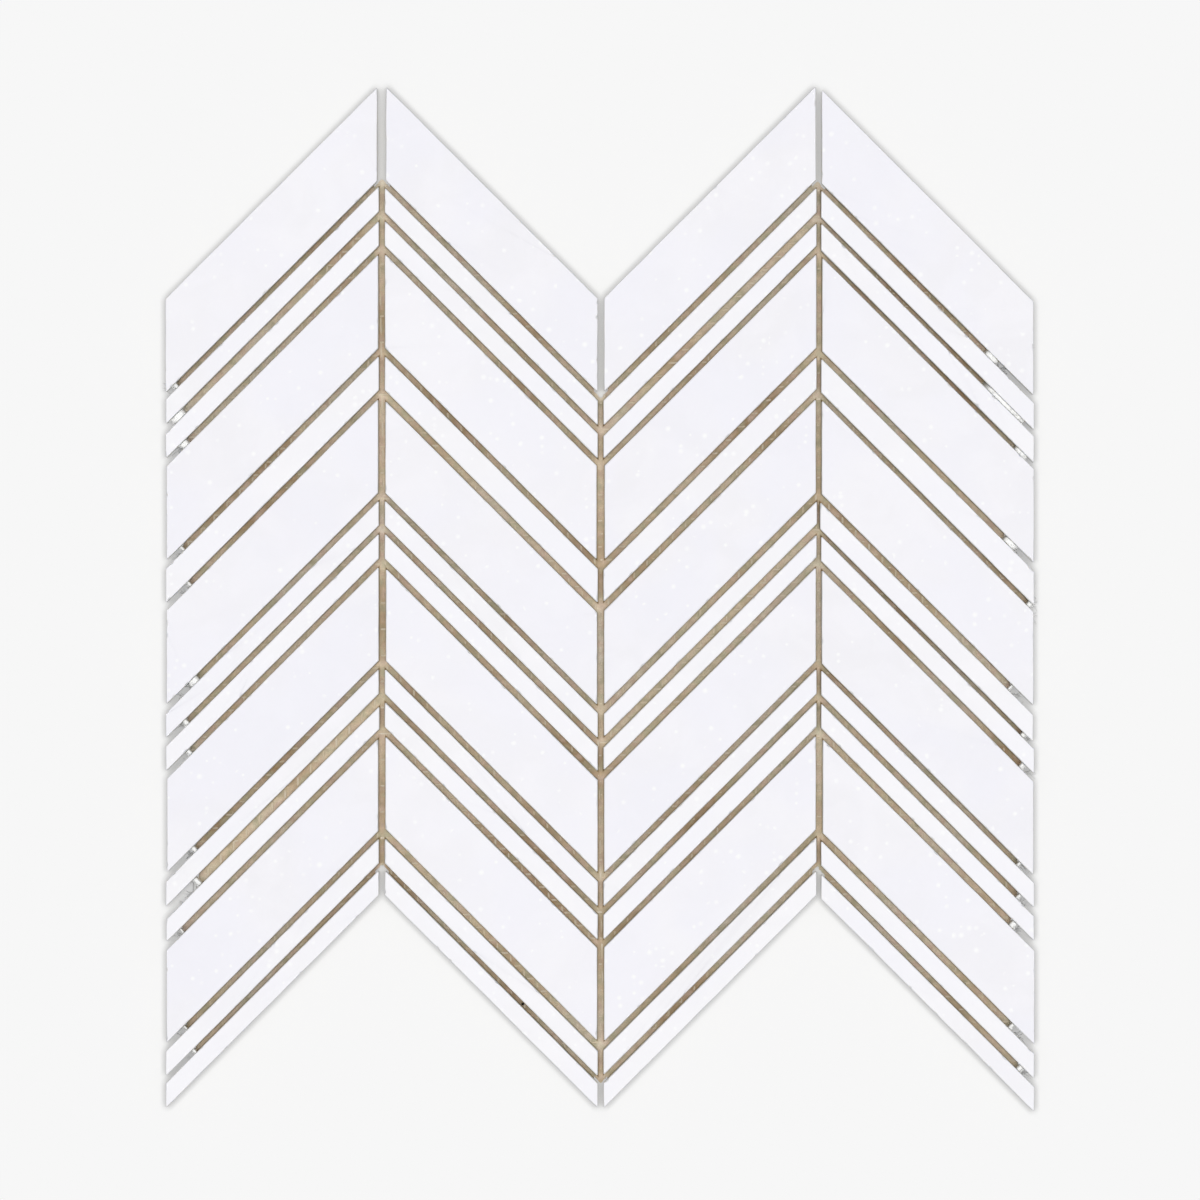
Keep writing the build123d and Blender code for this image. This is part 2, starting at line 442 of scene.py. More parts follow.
def stone_object(name, node, settings, plan):
    """One marble piece as closed rings of points from its polished face down to its underside.

    At a distance s along the outline, the arris is a quarter circle of radius a(s), the plain
    radius plus chips: ring k of it lies a(1 - sin t) inside the outline and a(1 - cos t) below
    the face, t running from 0 to 90 degrees. Both flat faces are closed by strips between
    points that lie equally far from the low tip on either side.
    """
    arris_unevenness, arris_wave = 0.22, 17 * MM
    saw_wander, saw_wave = 0.012 * MM, 9 * MM
    fully_worn = 0.12 * MM
    number = column_of(node) * 100 + row_of(node)
    rng = np.random.default_rng([settings.seed, number])
    low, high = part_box(node)
    corners = stone_plan(node, settings.tip_nip)
    outline, normals, limits, run, chips = stone_outline(corners, settings, rng)
    chips = chips * rng.uniform(0.8, 1.15, len(run))
    arris = settings.arris * (1 + arris_unevenness * ripples(run, 0 * run, arris_wave, number))
    arris = np.minimum(arris + chips, limits)
    wander = saw_wander * (1 + ripples(run, 0 * run, saw_wave, number + 1))

    # Rings from the face to the underside: inset from the outline, height and polish
    foot = settings.foot_round
    shoulder = high[2] - arris
    rings = []
    for angle in np.linspace(0, math.pi / 2, ARRIS_STEPS + 1):
        inset = arris * (1 - math.sin(angle))
        height = high[2] - arris * (1 - math.cos(angle))
        rings.append((inset + wander, height, 1 - angle / (math.pi / 2)))
    for share in (0.5, 0.15):
        rings.append((wander, low[2] + foot + (shoulder - low[2] - foot) * share, 0.0))
    for angle in np.linspace(0, math.pi / 2, 3):
        inset = foot * (1 - math.cos(angle))
        rings.append((inset + wander, low[2] + foot * (1 - math.sin(angle)) + 0 * run, 0.0))
    inset = np.stack([ring[0] for ring in rings])
    height = np.stack([ring[1] for ring in rings])
    ground = outline[None] - normals[None] * inset[..., None]
    points = np.concatenate([ground, height[..., None]], axis=-1)
    polish = np.repeat([ring[2] for ring in rings], len(run))
    ring_number = np.arange(len(rings))[:, None]
    in_arris = (ring_number > 0) & (ring_number <= ARRIS_STEPS)
    worn = np.clip(chips / fully_worn, 0, 1)[None] * in_arris

    # Faces: each flat face as strips from one side to the other, and the rings between them
    count = len(run)
    pair = np.arange(1, count // 2 - 1)
    strips = np.stack([pair, pair + 1, count - pair - 1, count - pair], axis=1)
    last = count // 2
    ends = np.array([[0, 1, count - 1], [last - 1, last, last + 1]])
    base = (len(rings) - 1) * count
    faces = [strips, ring_quads(len(rings), count), base + strips[:, ::-1], ends, base + ends[:, ::-1]]
    glued = np.tile(plan.glued_share(column_of(node), points[0, :, 0], points[0, :, 1]), len(rings))
    values = {"polish": polish, "worn": worn.ravel(), "glued": glued, "slab": rng.uniform(0, 1)}
    smooth = [False, True, False, False, False]
    return build_object(name, points.reshape(-1, 3), faces, smooth, [0, 1, 1, 0, 1], values)


# The backing's plan, worked out from the stones


class SheetPlan:
    """Where the columns, their joints, the mesh's edges and the adhesive's ends lie, in metres.

    A column's nominal sides are those of its middle wide tile. A slanted line is known by its
    level, which is its height where it meets the column's peak side. sides and levels hold a
    pair for each stone: its left and right side, and the levels of its upper and lower edge.
    """

    def __init__(self, stone, backing):
        self.backing = backing
        self.left = {}
        self.right = {}
        self.peak = {}
        self.sides = {}
        self.levels = {}
        for column in COLUMNS:
            wide = [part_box(n) for n in stone_nodes("wide_tile") if column_of(n) == column]
            self.left[column] = float(np.median([low[0] for low, high in wide]))
            self.right[column] = float(np.median([high[0] for low, high in wide]))
            rightwards = PEAK_SIDES[column] == "right"
            self.peak[column] = self.right[column] if rightwards else self.left[column]
            sides = []
            levels = []
            for node in column_stones(column):
                corners = stone_plan(node, stone.tip_nip)
                left, right = corners[:, 0].min(), corners[:, 0].max()
                inward = self.inward(column, right if rightwards else left)
                top = corners[:, 1].max() + inward * SLOPE
                bottom = corners[:, 1].min() + (inward + right - left) * SLOPE
                sides.append((left, right))
                levels.append((top, bottom))
            self.sides[column] = np.array(sides)
            self.levels[column] = np.array(levels)
        self.lean = math.tan(backing.lean)
        low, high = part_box(BACKING_NODE)
        self.mesh_left = low[0] + self.lean * self.slanted(FIRST, low[0], self.mesh_level(FIRST, "top"))
        self.mesh_right = high[0] + self.lean * self.slanted(LAST, high[0], self.mesh_level(LAST, "bottom"))

        # Whole spacings fill the width between the first yarn and the last
        self.first_yarn = self.mesh_left + backing.selvage
        width = self.mesh_right - backing.selvage - self.first_yarn
        self.warp_count = round(width / backing.yarn_spacing) + 1
        self.warp_spacing = width / (self.warp_count - 1)

    def inward(self, column, x):
        """How far x lies from the column's peak side, towards its other side."""
        if PEAK_SIDES[column] == "right":
            return self.peak[column] - x
        return x - self.peak[column]

    def slanted(self, column, x, level):
        """Y at x on the slanted line of a given level."""
        return level - self.inward(column, x) * SLOPE

    def mesh_level(self, column, end):
        """Level of the mesh's own edge under a column's first or last stones."""
        levels = self.levels[column]
        if end == "top":
            return levels[0, 0] - self.backing.top_margin * UPRIGHT
        return levels[-1, 1] + self.backing.bottom_margin * UPRIGHT

    def notch_level(self, column, end):
        """Level of the mesh's edge where an upright joint runs out past it."""
        levels = self.levels[column]
        if end == "top":
            return levels[0, 1] - self.backing.past_joint * UPRIGHT
        return levels[-1, 0] + self.backing.past_joint * UPRIGHT

    def mesh_edge(self, x, end):
        """Y of the mesh's zigzag edge at each x, with its notches at the upright joints.

        An upright joint is shared out between the columns beside it.
        """
        borders = [(self.right[c] + self.left[c + 1]) / 2 for c in COLUMNS[:-1]]
        columns = np.searchsorted(borders, x) + 1
        y = np.zeros(len(x))
        for column in COLUMNS:
            here = columns == column
            plain = self.slanted(column, x, self.mesh_level(column, end))
            notched = self.slanted(column, x, self.notch_level(column, end))
            near = np.zeros(len(x), bool)
            if column != FIRST:
                near |= x < self.left[column] + self.backing.notch_setback
            if column != LAST:
                near |= x > self.right[column] - self.backing.notch_setback
            y[here] = np.where(near, notched, plain)[here]
        return y

    def film_side(self, x, y, side):
        """X of the adhesive's side on the slanted line through a point.

        It is the named end within each row joint, blended evenly between joints, under the
        stones, plus a slight raggedness.
        """
        hidden = 0.4 * MM
        if side == "left":
            column = FIRST
            ends = self.left[column] + np.array(self.backing.left_ends)
        else:
            column = LAST
            ends = self.right[column] - np.array(self.backing.right_ends)
        level = y + self.inward(column, x) * SLOPE
        levels = self.levels[column]
        knots = np.stack([levels[:-1, 1] + hidden, levels[1:, 0] - hidden], axis=1).ravel()
        ragged = 0.12 * MM * ripples(level, 0 * level, 1.5 * MM, self.backing.seed + 20)
        return np.interp(level, knots[::-1], np.repeat(ends, 2)[::-1]) + ragged

    def weave_side(self, x, y, side):
        """X where the weave is cut off: the mesh's side, or the adhesive's where that is further out."""
        film = self.film_side(x, y, side)
        if side == "left":
            return np.minimum(self.mesh_left - self.lean * y, film)
        return np.maximum(self.mesh_right - self.lean * y, film)

    def bareness(self, x, y):
        """How bare of adhesive a yarn is: 0 inside the film and 1 a little way past its sides."""
        distance, at_side = 0.5 * MM, 0.3
        past = np.maximum(self.film_side(x, y, "left") - x, x - self.film_side(x, y, "right"))
        return np.clip(past / distance + at_side, 0, 1)

    def glued_share(self, column, x, y):
        """How far a place lies within the adhesive: 0 at its edges and beyond, 1 from 1 mm inside."""
        inside = np.minimum(x - self.film_side(x, y, "left"), self.film_side(x, y, "right") - x)
        below = self.slanted(column, x, self.mesh_level(column, "top")) - y
        above = y - self.slanted(column, x, self.mesh_level(column, "bottom"))
        return np.clip(np.minimum(inside, np.minimum(below, above)) / (1.0 * MM), 0, 1)


# Adhesive film


# Where the film's lines run across a joint, from one stone to the next
JOINT_SHARES = np.array([0.0, 0.08, 0.2, 0.35, 0.5, 0.65, 0.8, 0.92, 1.0])

# Where the film's outermost lines stand before they are drawn to its real ends, and how far in
# from them the drawing dies away
USUAL_END = 7.0 * MM
END_REACH = 18.0 * MM


def across_joint(start, end, under, hair):
    """Positions across a joint from start to end, with two more under the stones on each side."""
    start = np.asarray(start, float)[..., None]
    end = np.asarray(end, float)[..., None]
    way = np.sign(end - start)
    inside = start + (end - start) * JOINT_SHARES
    parts = [start - way * under, start - way * hair, inside, end + way * hair, end + way * under]
    return np.concatenate(parts, axis=-1)


def level_lines(plan, column, in_notch):
    """Levels of the film's slanted lines in a column, and how far each lies in a row joint.

    In a notch the lines above the notch's edge are spread out evenly just below it. The
    distance into a joint is square to it, and negative under the stones.
    """
    under, hair = 0.9 * MM, 0.04 * MM
    upper = plan.levels[column][:-1, 1]
    lower = plan.levels[column][1:, 0]
    lines = across_joint(upper, lower, under, hair).ravel()
    lines = np.concatenate([[plan.mesh_level(column, "top")], lines, [plan.mesh_level(column, "bottom")]])
    if in_notch:
        top = plan.notch_level(column, "top")
        bottom = plan.notch_level(column, "bottom")
        above = int(np.sum(lines >= top))
        lines[:above] = np.linspace(top, lines[above], above + 1)[:-1]
        below = int(np.sum(lines <= bottom))
        lines[-below:] = np.linspace(lines[-below - 1], bottom, below + 1)[1:]
    inside = np.minimum(upper[None] - lines[:, None], lines[:, None] - lower[None])
    return lines, inside.max(axis=1) / UPRIGHT


def side_lines(plan, column, side):
    """X of the stones' left or right sides along the film's slanted lines, blended in the joints."""
    x = plan.sides[column][:, side]
    shares = np.concatenate([[0, 0], JOINT_SHARES, [1, 1]])
    blended = x[:-1, None] * (1 - shares) + x[1:, None] * shares
    return np.concatenate([[x[0]], blended.ravel(), [x[-1]]])


def film_lines(plan):
    """The film's lines that go down the sheet, as x and y of each point and its depth in a joint.

    Lines in a column are upright. Those at an upright joint follow the sides of the stones,
    and their height is shared out between the two columns.
    """
    hair, spacing, clearance = 0.03 * MM, 1.9 * MM, 0.6 * MM
    notch = plan.backing.notch_setback
    lines = []

    def add(x, column, after, share, in_notch, into_upright):
        level, into_row = level_lines(plan, column, in_notch)
        next_level, next_into_row = level_lines(plan, after, in_notch)
        x = x + 0 * level
        y = (1 - share) * plan.slanted(column, x, level) + share * plan.slanted(after, x, next_level)
        into_row = (1 - share) * into_row + share * next_into_row
        both = (into_row > 0) & (into_upright > 0)
        crossing = np.hypot(into_row, np.maximum(into_upright, 0))
        lines.append((x, y, np.where(both, crossing, np.maximum(into_row, into_upright))))

    for column in COLUMNS:
        left, right = plan.left[column], plan.right[column]
        start = left + (USUAL_END if column == FIRST else notch + clearance)
        end = right - (USUAL_END if column == LAST else notch + clearance)
        for x in np.linspace(start, end, int((end - start) / spacing)):
            add(x, column, column, 0.0, False, -min(x - left, right - x))
        if column == LAST:
            continue
        after = column + 1
        near = side_lines(plan, column, 1)
        far = side_lines(plan, after, 0)
        add(near - notch - hair, column, column, 0.0, False, -notch)
        for x in across_joint(near, far, notch - hair, hair).T:
            share = np.clip((x - near) / (far - near), 0, 1)
            add(x, column, after, share, True, np.minimum(x - near, far - x))
        add(far + notch + hair, after, after, 0.0, False, -notch)
    return [np.stack(part) for part in zip(*lines)]


def adhesive_film(plan):
    """The dried adhesive as a closed slab on a grid of two parameters.

    One parameter runs across the sheet and one down it, along the stones' slant, with close
    lines in every joint. At a distance d from the nearest stone the top lies at the film's
    height plus the creep times e to the power of minus d over the creep's width. Under a stone
    it just meets the stone.
    """
    backing = plan.backing
    lap, wave, fine_wave = 0.005 * MM, 5 * MM, 1.7 * MM
    top_waves, top_grain, creep_waves = 0.02 * MM, 0.012 * MM, 0.35
    bottom_waves, bottom_grain = 0.015 * MM, 0.01 * MM
    painted_shade_width = 1.3 * backing.creep_width
    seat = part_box(BACKING_NODE)[1][2] - lap
    x, y, distance = film_lines(plan)

    # The lines near the two sides are drawn along the slant to the film's own ends
    for side, column, nominal, reach in (
        ("left", FIRST, plan.left[FIRST] + USUAL_END, END_REACH),
        ("right", LAST, plan.right[LAST] - USUAL_END, -END_REACH),
    ):
        share = np.clip(1 - (x - nominal) / reach, 0, 1)
        moved = x + (plan.film_side(x, y, side) - nominal) * share
        y += (plan.inward(column, x) - plan.inward(column, moved)) * SLOPE
        x = moved

    uneven = ripples(x, y, wave, backing.seed)
    fine = ripples(x, y, fine_wave, backing.seed + 1)
    outside = np.maximum(distance, 0)
    creep = backing.creep * (1 + creep_waves * uneven) * np.exp(-outside / backing.creep_width)
    in_joint = backing.film_top + top_waves * uneven + top_grain * fine + creep
    top = np.where(distance < 0, seat, in_joint)
    bottom = backing.film_bottom + bottom_waves * uneven + bottom_grain * fine
    points = np.concatenate([np.stack([x, y, z], axis=-1).reshape(-1, 3) for z in (top, bottom)])

    across, down = x.shape
    number = np.arange(across * down).reshape(across, down)
    rim = np.concatenate([number[0, :-1], number[:-1, -1], number[-1, :0:-1], number[:0:-1, 0]])
    count = across * down
    after = np.roll(rim, -1)
    wall = np.stack([rim, rim + count, after + count, after], axis=1)
    flat = grid_quads(across, down)
    faces = [flat, count + flat[:, ::-1], wall]
    # near_stone carries the painted shade along the stones' feet
    near_stone = np.exp(-outside / painted_shade_width).ravel()
    values = {"near_stone": np.concatenate([near_stone, np.zeros(count)])}
    return build_object("adhesive_film", points, faces, [True, True, False], values=values)


# Glass-fibre yarns


RIGHT = np.array([1.0, 0.0, 0.0])
UP_SHEET = np.array([0.0, 1.0, 0.0])
UPWARDS = np.array([0.0, 0.0, 1.0])


def tube(path, across, half_width, half_thickness, sides):
    """A closed flattened tube along a path of n points, as points, faces and a pair of numbers.

    Round the tube at an angle t, a point lies half the width times cos t along the across
    direction and half the thickness times sin t upwards. Each end is closed by a polygon.
    The pair is the share of a turn round the tube and the distance along it in millimetres.
    """
    count = len(path)
    here = np.arange(sides)[None, :]
    angle = here * 2 * math.pi / sides
    points = path[:, None, :] + (np.cos(angle) * half_width[:, None])[..., None] * across
    points[..., 2] += np.sin(angle) * half_thickness[:, None]
    quads = np.roll(ring_quads(count, sides)[:, ::-1], 1, axis=1)
    fan = np.arange(1, sides - 1)
    near_end = np.stack([0 * fan, fan + 1, fan], axis=1)
    far_end = (count - 1) * sides + near_end[:, ::-1]
    steps = np.linalg.norm(np.diff(path, axis=0), axis=1)
    run = np.concatenate([[0], np.cumsum(steps)])
    uv = np.stack(np.broadcast_arrays(here / sides, run[:, None] / MM), axis=-1)
    return points.reshape(-1, 3), quads, np.concatenate([near_end, far_end]), uv.reshape(-1, 2)


def tubes_object(name, tubes, bare):
    """Many tubes as one object, bare being how bare of adhesive each point is."""
    starts = np.cumsum([0] + [len(t[0]) for t in tubes[:-1]])
    points = np.concatenate([t[0] for t in tubes])
    quads, triangles = [
        np.concatenate([t[part] + start for t, start in zip(tubes, starts)]) for part in (1, 2)
    ]
    uv = np.concatenate([t[3] for t in tubes])
    return build_object(name, points, [quads, triangles], values={"bare": bare(points)}, uv=uv)


def yarn_tube(plan, start, end, along_y, number):
    """One yarn from start to end, which rises and falls over the yarns that it crosses.

    Its height is the mesh's middle plus or minus a fixed rise times the cosine of m + n half
    turns, m counting the yarns crossed and n being its own number, so warp and weft pass each
    other at every crossing. It is wider and flatter where it is bare at a cut end. Returns its
    path and its tube.
    """
    backing = plan.backing
    trim, clearance, wave, sides = 0.2 * MM, 0.01 * MM, 6 * MM, 6
    unevenness, bare_spread, bare_flattening = 0.12, 0.5, 0.35
    spacing = backing.yarn_spacing if along_y else plan.warp_spacing
    origin = 0.0 if along_y else plan.first_yarn
    first = math.ceil((start - origin) / spacing * 2)
    last = math.floor((end - origin) / spacing * 2)
    inner = origin + np.arange(first, last + 1) * spacing / 2
    inner = inner[(inner > start + trim) & (inner < end - trim)]
    along = np.concatenate([[start], inner, [end]])
    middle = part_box(BACKING_NODE)[1][2] / 2
    rise = middle - backing.yarn_thickness / 2 - clearance
    crossing = np.cos(((along - origin) / spacing + number) * math.pi)
    z = middle + (rise if along_y else -rise) * crossing
    if along_y:
        path = np.stack([warp_x(plan, number, along), along, z], axis=1)
    else:
        path = np.stack([along, number * backing.yarn_spacing + plan.lean * along, z], axis=1)
    bare = plan.bareness(path[:, 0], path[:, 1])
    uneven = ripples(path[:, 0], path[:, 1], wave, backing.seed + 3)
    width = backing.yarn_width / 2 * (1 + unevenness * uneven) * (1 + bare_spread * bare)
    thickness = backing.yarn_thickness / 2 * (1 - bare_flattening * bare)
    return path, tube(path, RIGHT if along_y else UP_SHEET, width, thickness, sides)


def warp_x(plan, number, y):
    """X of a yarn that runs up the sheet, at y."""
    return plan.first_yarn + number * plan.warp_spacing - plan.lean * y


def warp_yarns(plan):
    """The yarns that run up the sheet, each from the mesh's lower edge to its upper one."""
    rng = np.random.default_rng(plan.backing.seed + 40)
    tubes = []
    for number in range(plan.warp_count):
        # The lean carries the yarn sideways as it rises, so each end is found in a few passes
        ends = []
        for end in ("bottom", "top"):
            y = 0.0
            for _ in range(3):
                y = float(plan.mesh_edge(np.array([warp_x(plan, number, y)]), end)[0])
            ends.append(y)
        trim = rng.uniform(0, 0.5, 2) * MM
        tubes.append(yarn_tube(plan, ends[0] + trim[0], ends[1] - trim[1], True, number)[1])
    return tubes_object("glass_fibre_warp", tubes, lambda points: plan.bareness(*points[:, :2].T))


def weft_runs(plan, number):
    """The stretches of one weft yarn that lie within the mesh's edges, each as a pair of x.

    Each comes with whether it starts at the mesh's left side and whether it ends at its right.
    """
    near, shortest, step = 1.0 * MM, 2.0 * MM, 0.2 * MM
    x = np.arange(plan.left[FIRST], plan.right[LAST], step)
    y = number * plan.backing.yarn_spacing + plan.lean * x
    past_left = x - plan.weave_side(x, y, "left")
    past_right = plan.weave_side(x, y, "right") - x
    inside = (y < plan.mesh_edge(x, "top")) & (y > plan.mesh_edge(x, "bottom"))
    inside &= (past_left > 0) & (past_right > 0)
    change = np.flatnonzero(np.diff(np.concatenate([[0], inside.astype(int), [0]])))
    return [
        (x[first], x[last], past_left[first] < near, past_right[last] < near)
        for first, last in change.reshape(-1, 2) - [0, 1]
        if x[last] - x[first] > shortest
    ]


def weft_yarns(plan):
    """The yarns that run across the sheet, cut where the zigzag edges cross them.

    At the mesh's sides they stick out, mostly little and now and then much. Also returns each
    such loose end: its place and the way that it points.
    """
    backing = plan.backing
    mostly_little = 1.6
    low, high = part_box(BACKING_NODE)
    rng = np.random.default_rng(backing.seed + 50)
    tubes = []
    ends = []
    first = math.ceil(low[1] / backing.yarn_spacing)
    last = math.floor(high[1] / backing.yarn_spacing)
    for number in range(first, last + 1):
        for start, end, at_left, at_right in weft_runs(plan, number):
            if at_left:
                start -= backing.fringe * rng.uniform(0, 1) ** mostly_little
            if at_right:
                end += backing.fringe * rng.uniform(0, 1) ** mostly_little
            path, yarn = yarn_tube(plan, start, end, False, number)
            tubes.append(yarn)
            if at_left:
                ends.append((path[0], -1.0))
            if at_right:
                ends.append((path[-1], 1.0))
    weft = tubes_object("glass_fibre_weft", tubes, lambda points: plan.bareness(*points[:, :2].T))
    return weft, ends


def fibre_bundle(foot, outwards, across, half_gap, length, height, rng):
    """A flat bundle of bare fibre, which nearly fills its joint.

    It springs up steeply from the adhesive, lies level below the polished face and thins to
    its end.
    """
    fill, half_thickness, setback, sides = 0.98, 0.3 * MM, 0.2 * MM, 10
    along = np.array([-0.15, -0.05, 0.05, 0.25, 0.5, 0.75, 0.95, 1.05]) * length - setback
    rise = np.array([0.0, 0.6, 0.93, 1.0, 1.0, 0.99, 0.96, 0.9]) * height
    bulk = np.array([0.8, 0.95, 1.0, 1.0, 1.0, 1.0, 0.95, 0.55])
    uneven = 1 + 0.1 * rng.uniform(-1, 0.2, len(along))
    sway = 0.03 * half_gap * rng.uniform(-1, 1, len(along))
    path = foot + along[:, None] * outwards + sway[:, None] * across + rise[:, None] * UPWARDS
    return tube(path, across, fill * half_gap * bulk * uneven, half_thickness * bulk, sides)


def loose_fibre(foot, outwards, across, half_gap, length, height, rng):
    """A fibre that bends outwards along its joint.

    At a share s of its length it has risen by its own height times s (2 - s), has run out by
    its own length times the square of s, and has drifted across the joint by its own drift
    times the square of s.
    """
    share = np.linspace(0, 1, 7)
    begin = rng.uniform(-0.15, max(0.0, length / MM - 1.2)) * MM
    reach = min(rng.uniform(0.5, 2.2) * MM, 1.2 * length - begin)
    offset = half_gap * rng.uniform(-0.8, 0.8)
    drift = rng.normal(0, 0.25) * half_gap
    room = 0.84 * half_gap
    aside = np.clip(offset + drift * share**2, -room, room)
    along = begin + reach * share**2
    rise = rng.uniform(0.8, 1.0) * height * share * (2 - share)
    width = rng.uniform(0.12, 0.3) * MM * (1 - 0.4 * share)
    path = foot + along[:, None] * outwards + aside[:, None] * across + rise[:, None] * UPWARDS
    return tube(path, across, width, 0.5 * width, 4)


def joint_tufts(plan):
    """Bunches of bare fibre that stand up in the row joints where the adhesive ends.

    Each bunch is a flat bundle with loose fibres over it, and stands higher where it is long.
    """
    backing = plan.backing
    rng = np.random.default_rng(backing.seed + 70)
    shortest, tallest, over_bundle = 7.3 * MM, 8.7 * MM, 0.5 * MM
    foot_height, height_share = 0.3 * MM, 0.7
    tubes = []
    for side, column, way, tufts in (
        ("left", FIRST, -1.0, backing.left_tufts),
        ("right", LAST, 1.0, backing.right_tufts),
    ):
        levels = plan.levels[column]
        outwards = np.array([way * math.cos(SLANT), -math.sin(SLANT), 0.0])
        across = np.array([way * math.sin(SLANT), math.cos(SLANT), 0.0])
        for upper, lower, tuft in zip(levels[:-1, 1], levels[1:, 0], tufts):
            half_gap = (upper - lower) / 2 / UPRIGHT
            middle = (upper + lower) / 2
            x = float(plan.film_side(np.array([plan.peak[column]]), np.array([middle]), side)[0])
            foot = np.array([x, plan.slanted(column, x, middle), foot_height])
            height = min(tallest, shortest + height_share * tuft)
            length = tuft / math.cos(SLANT)
            shape = (foot, outwards, across, half_gap, length)
            tubes.append(fibre_bundle(*shape, height - over_bundle, rng))
            for _ in range(int(6 + 8 * length / MM)):
                tubes.append(loose_fibre(*shape, height, rng))
    return tubes


def frayed_ends(plan, ends):
    """Brushes of fine bare fibres at the cut ends of the yarns and of the adhesive.

    A fibre starts inside its yarn and runs outwards in a slight bend: at a share s of its
    length it has turned by its own spread times s.
    """
    rng = np.random.default_rng(plan.backing.seed + 60)
    share = np.linspace(0, 1, 5)
    tubes = joint_tufts(plan)
    ground, ceiling = 0.08 * MM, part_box(BACKING_NODE)[1][2] - 0.02 * MM
    for place, way in ends:
        for _ in range(rng.integers(9, 16)):
            length = rng.uniform(0.9, 3.2) * MM
            start = place + np.array([-way * 0.5 * MM, rng.uniform(-0.4, 0.4) * MM, 0])
            heading = rng.uniform(-0.35, 0.35) + rng.normal(0, 0.5) * share
            x = start[0] + way * length * share
            y = start[1] + length * share * np.sin(heading)
            z = np.clip(start[2] + rng.uniform(-0.12, 0.12) * MM * share, ground, ceiling)
            width = rng.uniform(0.07, 0.17) * MM * (1 - 0.45 * share)
            tubes.append(tube(np.stack([x, y, z], axis=1), UP_SHEET, width, 0.6 * width, 4))
    return tubes_object("frayed_fibre_ends", tubes, lambda points: 1.0)


def dark_speck(plan):
    """A speck of dark grit on the adhesive: a flattened ball with an uneven surface.

    At a height angle h and a turn t, its radius is half its width times 1 plus a small share of
    the ripples at that point, and its height is two thirds of that.
    """
    backing = plan.backing
    column, turns, bands = 2, 16, 8
    unevenness, wave, flatness, lift = 0.12, 1.3, 0.67, 0.2
    levels = plan.levels[column]
    y = plan.slanted(column, backing.speck_x, (levels[-2, 1] + levels[-1, 0]) / 2)
    height_angle = np.linspace(math.pi / 2, -math.pi / 2, bands + 1)[1:-1, None]
    turn = np.arange(turns) * 2 * math.pi / turns
    ball = [
        np.cos(height_angle) * np.cos(turn),
        np.cos(height_angle) * np.sin(turn),
        np.sin(height_angle) + 0 * turn,
    ]
    unit = np.concatenate([np.stack(ball, axis=-1).reshape(-1, 3), [UPWARDS, -UPWARDS]])
    waves = ripples(unit[:, 0] + unit[:, 2], unit[:, 1] - unit[:, 2], wave, backing.seed + 80)
    points = unit * (1 + unevenness * waves)[:, None] * backing.speck_size / 2
    points = points * np.array([1.0, 1.0, flatness])
    points += [backing.speck_x, y, backing.film_top + lift * backing.speck_size]
    here = np.arange(turns)
    after = (here + 1) % turns
    last = (len(height_angle) - 1) * turns
    top = np.stack([here, after, 0 * here + len(points) - 2], axis=1)
    bottom = np.stack([last + after, last + here, 0 * here + len(points) - 1], axis=1)
    return build_object("dark_speck", points, [ring_quads(len(height_angle), turns), top, bottom])


# Shader nodes


def feed(tree, node, inputs):
    """Gives a node's inputs, by name or number, links from other sockets or plain values."""
    for key, value in inputs.items():
        socket = node.inputs[key]
        if isinstance(value, bpy.types.NodeSocket):
            tree.links.new(value, socket)
        elif socket.type == "RGBA":
            socket.default_value = (*value, 1.0)
        else:
            socket.default_value = value


def add_node(tree, kind, inputs, **settings):
    """A shader node with its settings made and its inputs fed."""
    node = tree.nodes.new(f"ShaderNode{kind}")
    for name, value in settings.items():
        setattr(node, name, value)
    feed(tree, node, inputs)
    return node


def math_node(tree, operation, *inputs):
    """A Math node's output, for inputs that are numbers or sockets."""
    return add_node(tree, "Math", dict(enumerate(inputs)), operation=operation).outputs[0]


def product(tree, first, second):
    """Two numbers or sockets multiplied."""
    return math_node(tree, "MULTIPLY", first, second)


def map_range(tree, value, from_low, from_high, to_low=0.0, to_high=1.0, smooth=False):
    """A number carried from one range to another and kept inside it."""
    inputs = dict(enumerate((value, from_low, from_high, to_low, to_high)))
    kind = "SMOOTHSTEP" if smooth else "LINEAR"
    return add_node(tree, "MapRange", inputs, interpolation_type=kind).outputs["Result"]


def mix_colour(tree, factor, first, second, blend="MIX"):
    """A Mix node between two colours, which are triples or sockets."""
    inputs = {0: factor, 6: first, 7: second}
    return add_node(tree, "Mix", inputs, data_type="RGBA", blend_type=blend, clamp_factor=True).outputs[2]


def noise(tree, vector, scale, detail=2.0, roughness=0.5, distortion=0.0):
    """A Noise texture's value, its scale in waves a metre or a socket."""
    inputs = {"Vector": vector, "Scale": scale, "Detail": detail}
    inputs.update({"Roughness": roughness, "Distortion": distortion})
    return add_node(tree, "TexNoise", inputs).outputs["Fac"]


def cells(tree, vector, scale):
    """A Voronoi texture's distance to the cell's middle and the cell's own colour."""
    node = add_node(tree, "TexVoronoi", {"Vector": vector, "Scale": scale})
    return node.outputs["Distance"], node.outputs["Color"]


def split(tree, colour):
    """The three parts of a colour or vector."""
    return add_node(tree, "SeparateXYZ", {0: colour}).outputs


def attribute(tree, name):
    """A number stored on the mesh's points."""
    return add_node(tree, "Attribute", {}, attribute_name=name).outputs["Fac"]


def bump(tree, height, strength, distance):
    """A Bump node's normal from a height."""
    inputs = {"Strength": strength, "Distance": distance, "Height": height}
    return add_node(tree, "Bump", inputs).outputs["Normal"]


# Shader node groups, each of which takes a vector and gives masks from 0 to 1


